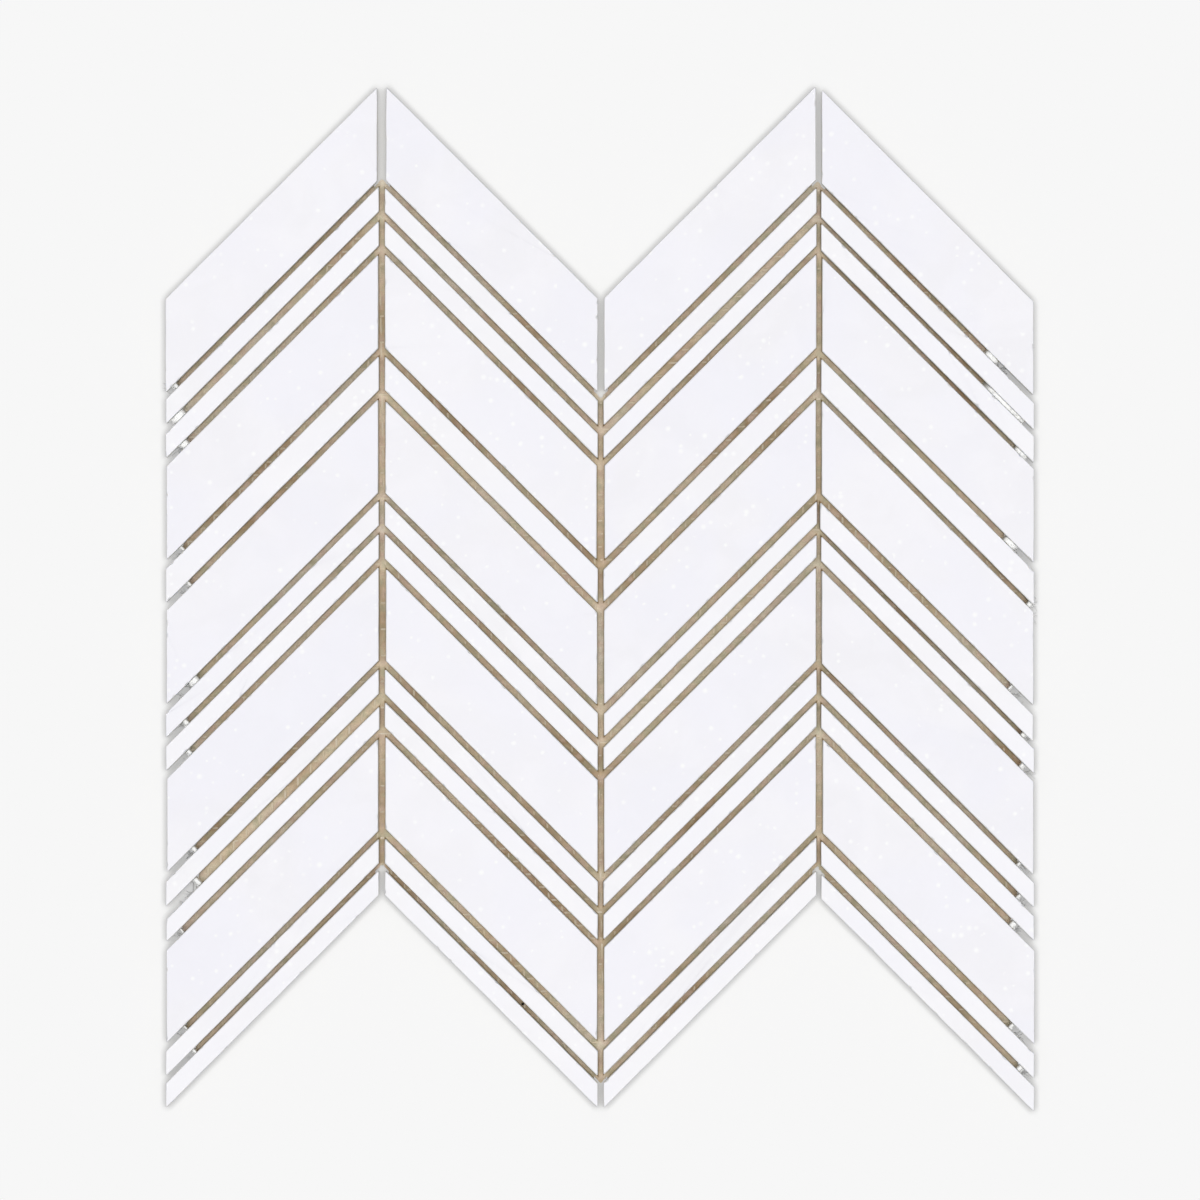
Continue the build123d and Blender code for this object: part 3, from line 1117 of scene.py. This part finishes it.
def new_group(name, scales, outputs):
    """A shader node group with a vector and named scales as inputs and named numbers as outputs."""
    group = bpy.data.node_groups.new(name, "ShaderNodeTree")
    group.interface.new_socket(name="Vector", in_out="INPUT", socket_type="NodeSocketVector")
    for label, default in scales.items():
        socket = group.interface.new_socket(name=label, in_out="INPUT", socket_type="NodeSocketFloat")
        socket.default_value = default
    for label in outputs:
        group.interface.new_socket(name=label, in_out="OUTPUT", socket_type="NodeSocketFloat")
    return group, group.nodes.new("NodeGroupInput").outputs, group.nodes.new("NodeGroupOutput")


def marble_figure_group():
    """The marble's faint clouds, its bright crystals and its sugary grain."""
    scales = {"Cloud scale": 60.0, "Crystal scale": 400.0, "Grain scale": 1400.0}
    group, given, out = new_group("Marble figure", scales, ("Cloud", "Tint", "Crystal", "Grain"))
    vector = given["Vector"]
    cloud_scale = given["Cloud scale"]
    cloud = noise(group, vector, cloud_scale, 4.0, 0.55, 0.6)
    tint = noise(group, vector, product(group, cloud_scale, 0.45), 2.0, 0.5, 0.3)

    # A crystal shows in a cell whose own number passes a chance that changes from patch to patch
    distance, colour = cells(group, vector, given["Crystal scale"])
    own = split(group, colour)
    patch = noise(group, vector, product(group, cloud_scale, 1.7), 2.0)
    chance = map_range(group, patch, 0.40, 0.60, 0.975, 0.70)
    shows = math_node(group, "GREATER_THAN", own[0], chance)
    radius = map_range(group, own[1], 0.0, 1.0, 0.24, 0.56)
    spot = map_range(group, math_node(group, "DIVIDE", distance, radius), 0.1, 1.0, 0.9, 0.0, smooth=True)
    _, grain_colour = cells(group, vector, given["Grain scale"])
    feed(group, out, {
        "Cloud": map_range(group, cloud, 0.34, 0.66, smooth=True),
        "Tint": map_range(group, tint, 0.38, 0.62, smooth=True),
        "Crystal": product(group, shows, spot),
        "Grain": split(group, grain_colour)[0],
    })
    return group


def sawn_face_group():
    """Height of a sawn face: long fine saw lines along the piece, and open pits."""
    group, given, out = new_group("Sawn face", {}, ("Height",))
    stretch = add_node(group, "Mapping", {"Vector": given["Vector"], "Scale": (60.0, 60.0, 2600.0)})
    lines = noise(group, stretch.outputs[0], 1.0)
    pits = noise(group, given["Vector"], 1900.0)
    pitted = map_range(group, pits, 0.30, 0.42, 0.0, 0.4)
    feed(group, out, {"Height": math_node(group, "ADD", product(group, lines, 0.6), pitted)})
    return group


def adhesive_mottle_group():
    """The dried adhesive's uneven colour, from slow regions down to fine specks."""
    group, given, out = new_group("Adhesive mottle", {}, ("Regions", "Patches", "Tint", "Specks"))
    for label, scale, detail, low, high in (
        ("Regions", 26.0, 1.0, 0.34, 0.66),
        ("Patches", 420.0, 2.0, 0.34, 0.66),
        ("Tint", 250.0, 1.0, 0.30, 0.70),
        ("Specks", 2600.0, 1.0, 0.35, 0.65),
    ):
        value = noise(group, given["Vector"], scale, detail)
        feed(group, out, {label: map_range(group, value, low, high)})
    return group


GROUP_MAKERS = {
    "Marble figure": marble_figure_group,
    "Sawn face": sawn_face_group,
    "Adhesive mottle": adhesive_mottle_group,
}


def place_group(tree, name, vector, scales=None):
    """A shared node group's outputs in a material's tree. The group is made if it isn't there yet."""
    node = tree.nodes.new("ShaderNodeGroup")
    node.node_tree = bpy.data.node_groups.get(name) or GROUP_MAKERS[name]()
    feed(tree, node, {"Vector": vector, **(scales or {})})
    return node.outputs


# Materials


BLACK = (0.0, 0.0, 0.0)


def new_material(name):
    """A node material with its shader, and the object's own coordinates."""
    material = bpy.data.materials.new(name)
    material.use_nodes = True
    tree = material.node_tree
    coordinates = tree.nodes.new("ShaderNodeTexCoord").outputs["Object"]
    return material, tree, tree.nodes["Principled BSDF"], coordinates


def marble_colour(tree, coordinates, colour, marble):
    """The marble's own colour over the surface, and its grain, taken from a place in the slab."""
    slab = attribute(tree, "slab")
    inputs = {0: slab, 1: (3.1, 7.7, 1.9), 2: coordinates}
    place = add_node(tree, "VectorMath", inputs, operation="MULTIPLY_ADD")
    scales = {
        "Cloud scale": 1 / marble.cloud_size,
        "Crystal scale": 1 / marble.crystal_spacing,
        "Grain scale": 1 / marble.grain_size,
    }
    figure = place_group(tree, "Marble figure", place.outputs[0], scales)
    base = np.array(colour)
    cool = np.minimum(base * np.array([0.975, 0.98, 1.02]), 1)
    shown = mix_colour(tree, figure["Cloud"], base * 0.978, np.minimum(base * 1.012, 1))
    shown = mix_colour(tree, map_range(tree, figure["Tint"], 0, 1, 0, 0.55), shown, cool)
    shown = mix_colour(tree, map_range(tree, figure["Grain"], 0, 1, 0, 0.10), shown, base * 0.95)
    shown = mix_colour(tree, product(tree, slab, 0.35), shown, np.minimum(base * 1.03, 1))
    return mix_colour(tree, figure["Crystal"], shown, marble.crystal_colour), figure["Grain"]


def polished_material(name, colour, marble):
    """The polished white face of the marble."""
    material, tree, shader, coordinates = new_material(name)
    shown, grain = marble_colour(tree, coordinates, colour, marble)
    roughness = map_range(tree, grain, 0, 1, 0.13, 0.20)
    feed(tree, shader, {"Base Color": shown, "Roughness": roughness, "IOR": 1.49})
    return material


def sawn_material(name, colour, marble, backing):
    """The marble's eased edge with a painted highlight, its matt sawn sides that light seeps into, and glue
    at their foot with painted warm bounce light.
    """
    material, tree, shader, coordinates = new_material(name)
    polish = attribute(tree, "polish")
    # Painted highlight: towards the polished face the eased edge is drawn lighter than the face itself, and
    # chipped places are whiter as real wear
    eased = product(tree, map_range(tree, polish, 0.0, 0.3), 0.8)
    whiter = math_node(tree, "MAXIMUM", eased, attribute(tree, "worn"))
    edged = mix_colour(tree, whiter, marble.sawn_colour, np.minimum(np.array(colour) * 1.06, 1))

    # Adhesive has crept a little way up the sides, drawn together with painted warm bounce light from the
    # adhesive, yellowest at the foot
    mottle = place_group(tree, "Adhesive mottle", coordinates)
    creep = map_range(tree, mottle["Patches"], 0, 1, 3.0 * MM, 9.0 * MM)
    foot = map_range(tree, split(tree, coordinates)[2], 0.3 * MM, creep, 1.0, 0.0)
    foot = product(tree, foot, map_range(tree, polish, 0.0, 0.1, 0.8, 0.0))
    foot = product(tree, foot, attribute(tree, "glued"))
    sawn = place_group(tree, "Sawn face", coordinates)
    depth = product(tree, sawn["Height"], map_range(tree, polish, 0.0, 0.6, 1.0, 0.0))
    feed(tree, shader, {
        "Base Color": mix_colour(tree, foot, edged, backing.glue_and_bounce_colour),
        "Roughness": map_range(tree, polish, 0.2, 0.9, 0.62, 0.2),
        "Normal": bump(tree, depth, 0.6, 0.05 * MM),
        "Specular IOR Level": 0.0,
        "Subsurface Weight": 1.0,
        "Subsurface Radius": (1.0, 0.94, 0.84),
        "Subsurface Scale": 12.0 * MM,
    })
    return material


def adhesive_material(backing):
    """Dried tan adhesive: browner or paler from place to place, with painted shade darkest at the stones'
    feet.
    """
    material, tree, shader, coordinates = new_material("dried tan adhesive")
    mottle = place_group(tree, "Adhesive mottle", coordinates)
    regions, patches, tint, specks = [mottle[label] for label in ("Regions", "Patches", "Tint", "Specks")]
    film = backing.film_colour
    for mask, ranges, colour in (
        (regions, (0.0, 0.45, 0.9, 0.0), backing.brown_colour),
        (regions, (0.5, 1.0, 0.0, 0.9), backing.pale_colour),
        (tint, (0.5, 1.0, 0.0, 0.85), backing.pink_colour),
        (tint, (0.5, 0.0, 0.0, 0.8), backing.olive_colour),
    ):
        film = mix_colour(tree, map_range(tree, mask, *ranges), film, colour)
    film = mix_colour(tree, product(tree, patches, 0.5), film, (0.62, 0.57, 0.50), "MULTIPLY")
    film = mix_colour(tree, product(tree, specks, 0.4), film, np.array(backing.film_colour) * 0.6)
    # Painted shade: the film is drawn darkest along the stones' feet, where their walls shade it
    foot_shade_mask = map_range(tree, attribute(tree, "near_stone"), 0.35, 0.95, 0.0, 0.9, smooth=True)
    height = math_node(tree, "ADD", specks, patches)
    feed(tree, shader, {
        "Base Color": mix_colour(tree, foot_shade_mask, film, backing.painted_foot_shade_colour),
        "Roughness": map_range(tree, patches, 0, 1, 0.42, 0.6),
        "Normal": bump(tree, height, 0.7, 0.06 * MM),
    })
    return material


def fibre_material(backing):
    """Glass-fibre yarn: tan where adhesive soaks it, white where it is bare, with twisted strands and
    painted shade in the grooves between them.

    The strands wind round the yarn: one turn each 2.5 mm, four strands to a turn.
    """
    turns_a_mm, strands_a_turn = 0.4, 4
    material, tree, shader, coordinates = new_material("glass fibre yarn")
    mottle = place_group(tree, "Adhesive mottle", coordinates)
    soaked = np.array(backing.yarn_colour)
    bare = attribute(tree, "bare")
    shown = mix_colour(tree, mottle["Patches"], soaked * np.array([0.92, 0.88, 0.78]), soaked)
    shown = mix_colour(tree, bare, shown, backing.bare_colour)
    uv = tree.nodes.new("ShaderNodeUVMap")
    around, along, _ = split(tree, uv.outputs["UV"])
    turned = math_node(tree, "ADD", around, product(tree, along, turns_a_mm))
    strands = math_node(tree, "SINE", product(tree, turned, strands_a_turn * 2 * math.pi))
    height = map_range(tree, strands, -1, 1)
    # Painted shade in the grooves between the strands, darkest where the yarn is soaked
    groove = map_range(tree, height, 0, 1, 0.22, 0.0)
    between = product(tree, groove, map_range(tree, bare, 0, 1, 1, 0.2))
    feed(tree, shader, {
        "Base Color": mix_colour(tree, between, shown, soaked * 0.55),
        "Roughness": map_range(tree, bare, 0, 1, 0.5, 0.35),
        "Normal": bump(tree, height, 0.6, 0.05 * MM),
    })
    return material


def speck_material():
    """Dark grit: black-brown, with a little paler dust on it."""
    material, tree, shader, coordinates = new_material("dark grit")
    dust = map_range(tree, noise(tree, coordinates, 4000.0, 3.0), 0.5, 0.75)
    shown = mix_colour(tree, dust, (0.02, 0.016, 0.012), (0.09, 0.075, 0.06))
    feed(tree, shader, {"Base Color": shown, "Roughness": 0.8})
    return material


def seen_rays(tree):
    """Whether a surface is being looked at, straight or in a mirror."""
    rays = tree.nodes.new("ShaderNodeLightPath").outputs
    return math_node(tree, "MAXIMUM", rays["Is Camera Ray"], rays["Is Glossy Ray"])


def floor_material(stage):
    """A plain pale matt floor, which throws less light back at the object than it shows.

    A share of its brightness is painted on as a glow, seen even in shadow, which lightens the
    slots between the stones. Painted shade makes it look darker where the space over it is half
    open, at the sheet's foot: by a set share times 4 a (1 - a), a being how open that space is.
    """
    near_space = 2.0 * MM
    material, tree, shader, _ = new_material("pale floor")
    seen = seen_rays(tree)
    colour, glow = stage.floor_colour, stage.floor_glow
    openness = add_node(tree, "AmbientOcclusion", {"Distance": near_space}, samples=6).outputs["AO"]
    shut = math_node(tree, "SUBTRACT", 1.0, openness)
    half_open = product(tree, product(tree, openness, shut), 4.0)
    shown = mix_colour(tree, product(tree, half_open, stage.foot_shade), colour, BLACK)
    lit = mix_colour(tree, 1.0 - glow, BLACK, shown)
    dim = [stage.floor_bounce * channel for channel in colour]
    feed(tree, shader, {
        "Base Color": mix_colour(tree, seen, dim, lit),
        "Emission Color": shown,
        "Emission Strength": product(tree, seen, glow),
        "Roughness": 1.0,
        "Specular IOR Level": 0.0,
    })
    return material


# Stage


def make_camera(stage):
    """A camera that looks straight down, whose square frame is set by its width at the face."""
    face = cad_box[1][2]
    camera = bpy.data.cameras.new("camera")
    camera.sensor_width = 36.0
    camera.lens = camera.sensor_width * stage.camera_height / stage.frame_width
    camera.clip_start = 0.01
    camera.clip_end = 30.0
    holder = bpy.data.objects.new("camera", camera)
    holder.location = (0.0, -stage.frame_drop, face + stage.camera_height)
    bpy.context.scene.collection.objects.link(holder)
    bpy.context.scene.camera = holder


def make_light(stage):
    """Even light from all round, a broad soft light overhead and a small one beside the camera.

    A sun of strength pi lights a level white face fully, so each lamp's strength is its share
    of that. Polished faces mirror the pale backdrop and not the lamps.
    """
    for name, share, spread in (
        ("soft light", stage.soft, stage.soft_spread),
        ("flash", stage.flash, stage.flash_spread),
    ):
        lamp = bpy.data.lights.new(name, "SUN")
        lamp.energy = share * math.pi
        lamp.angle = spread
        holder = bpy.data.objects.new(name, lamp)
        holder.visible_glossy = False
        bpy.context.scene.collection.objects.link(holder)
    world = bpy.data.worlds.new("studio")
    world.use_nodes = True
    tree = world.node_tree
    tree.nodes.clear()
    light = add_node(tree, "Background", {"Color": (1.0, 1.0, 1.0), "Strength": stage.ambient})
    backdrop = add_node(tree, "Background", {"Color": stage.floor_colour})
    choice = add_node(tree, "MixShader", {0: seen_rays(tree), 1: light.outputs[0], 2: backdrop.outputs[0]})
    add_node(tree, "OutputWorld", {0: choice.outputs[0]})
    bpy.context.scene.world = world


def make_floor(stage):
    """A round level floor under the sheet: rings of points whose radius grows towards its rim."""
    circles, spokes = 8, 96
    share = np.linspace(0, 1, circles + 1)[1:] ** 2
    angle = np.linspace(0, 2 * math.pi, spokes + 1)[:-1]
    radius = share[::-1, None] * stage.floor_radius
    x = (radius * np.cos(angle)).ravel()
    y = (radius * np.sin(angle)).ravel()
    points = np.concatenate([np.stack([x, y, 0 * x], axis=1), [[0, 0, 0]]])
    rings = ring_quads(circles, spokes)[:, ::-1]
    here = np.arange(spokes)
    inner = (circles - 1) * spokes
    fan = np.stack([inner + here, inner + (here + 1) % spokes, 0 * here + len(points) - 1], axis=1)
    floor = build_object("floor", points, [rings, fan])
    floor.data.materials.append(floor_material(stage))


# Operators


def dress_stones(context, kind, colour):
    """Replaces every stone of a kind by its finished surface."""
    scene = context.scene
    words = kind.replace("_", " ")
    polished = polished_material(f"polished marble, {words}", colour, scene.mosaic_marble)
    sawn = sawn_material(f"sawn marble, {words}", colour, scene.mosaic_marble, scene.mosaic_backing)
    plan = SheetPlan(scene.mosaic_stone, scene.mosaic_backing)
    for node in stone_nodes(kind):
        piece = stone_object(f"marble_{node}", node, scene.mosaic_stone, plan)
        piece.data.materials.append(polished)
        piece.data.materials.append(sawn)
        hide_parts(node)
        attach(piece, "root")


def dress_backing(piece, material):
    """Gives a piece of the backing its material and slot and its body, and hides the frame's backing part.
    """
    piece.data.materials.append(material)
    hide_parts(BACKING_NODE)
    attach(piece, "root")


class MOSAIC_OT_wide_tiles(Operator):
    """Make the wide marble tiles"""

    bl_idname = "mosaic.wide_tiles"
    bl_label = "Wide tiles"

    def execute(self, context):
        dress_stones(context, "wide_tile", context.scene.mosaic_marble.wide_colour)
        return {"FINISHED"}


class MOSAIC_OT_narrow_strips(Operator):
    """Make the narrow marble strips"""

    bl_idname = "mosaic.narrow_strips"
    bl_label = "Narrow strips"

    def execute(self, context):
        dress_stones(context, "narrow_strip", context.scene.mosaic_marble.strip_colour)
        return {"FINISHED"}


class MOSAIC_OT_medium_strips(Operator):
    """Make the medium marble strips"""

    bl_idname = "mosaic.medium_strips"
    bl_label = "Medium strips"

    def execute(self, context):
        dress_stones(context, "medium_strip", context.scene.mosaic_marble.strip_colour)
        return {"FINISHED"}


class MOSAIC_OT_adhesive(Operator):
    """Make the dried adhesive film"""

    bl_idname = "mosaic.adhesive"
    bl_label = "Adhesive film"

    def execute(self, context):
        backing = context.scene.mosaic_backing
        plan = SheetPlan(context.scene.mosaic_stone, backing)
        dress_backing(adhesive_film(plan), adhesive_material(backing))
        return {"FINISHED"}


class MOSAIC_OT_mesh_yarns(Operator):
    """Make the glass-fibre yarns of the mesh, their frayed ends and the speck of grit"""

    bl_idname = "mosaic.mesh_yarns"
    bl_label = "Mesh yarns"

    def execute(self, context):
        backing = context.scene.mosaic_backing
        plan = SheetPlan(context.scene.mosaic_stone, backing)
        fibre = fibre_material(backing)
        dress_backing(warp_yarns(plan), fibre)
        weft, ends = weft_yarns(plan)
        dress_backing(weft, fibre)
        dress_backing(frayed_ends(plan, ends), fibre)
        dress_backing(dark_speck(plan), speck_material())
        return {"FINISHED"}


class MOSAIC_OT_stage(Operator):
    """Set up the camera, light and floor"""

    bl_idname = "mosaic.stage"
    bl_label = "Stage"

    def execute(self, context):
        stage = context.scene.mosaic_stage
        make_camera(stage)
        make_light(stage)
        make_floor(stage)
        context.scene.view_settings.view_transform = "Standard"
        return {"FINISHED"}


SETTINGS = {
    "mosaic_stone": StoneSettings,
    "mosaic_marble": MarbleSettings,
    "mosaic_backing": BackingSettings,
    "mosaic_stage": StageSettings,
}
OPERATORS = (
    MOSAIC_OT_wide_tiles,
    MOSAIC_OT_narrow_strips,
    MOSAIC_OT_medium_strips,
    MOSAIC_OT_adhesive,
    MOSAIC_OT_mesh_yarns,
    MOSAIC_OT_stage,
)


class MOSAIC_PT_panel(Panel):
    """The mosaic sheet's settings and operators"""

    bl_idname = "MOSAIC_PT_panel"
    bl_label = "Marble mosaic"
    bl_space_type = "VIEW_3D"
    bl_region_type = "UI"
    bl_category = "Mosaic"

    def draw(self, context):
        layout = self.layout
        for label, settings in SETTINGS.items():
            box = layout.box()
            box.label(text=settings.__doc__)
            group = getattr(context.scene, label)
            for name in settings.__annotations__:
                box.prop(group, name)
        for operator in OPERATORS:
            layout.operator(operator.bl_idname)


def register():
    """Registers the settings, the operators and the panel."""
    for label, settings in SETTINGS.items():
        bpy.utils.register_class(settings)
        setattr(bpy.types.Scene, label, PointerProperty(type=settings))
    for operator in OPERATORS:
        bpy.utils.register_class(operator)
    bpy.utils.register_class(MOSAIC_PT_panel)


def unregister():
    """Takes them out again, in the opposite order."""
    bpy.utils.unregister_class(MOSAIC_PT_panel)
    for operator in reversed(OPERATORS):
        bpy.utils.unregister_class(operator)
    for label, settings in reversed(list(SETTINGS.items())):
        delattr(bpy.types.Scene, label)
        bpy.utils.unregister_class(settings)


def main():
    """Runs every operator in order."""
    register()
    bpy.ops.mosaic.wide_tiles()
    bpy.ops.mosaic.narrow_strips()
    bpy.ops.mosaic.medium_strips()
    bpy.ops.mosaic.adhesive()
    bpy.ops.mosaic.mesh_yarns()
    bpy.ops.mosaic.stage()


if __name__ == "__main__":
    main()
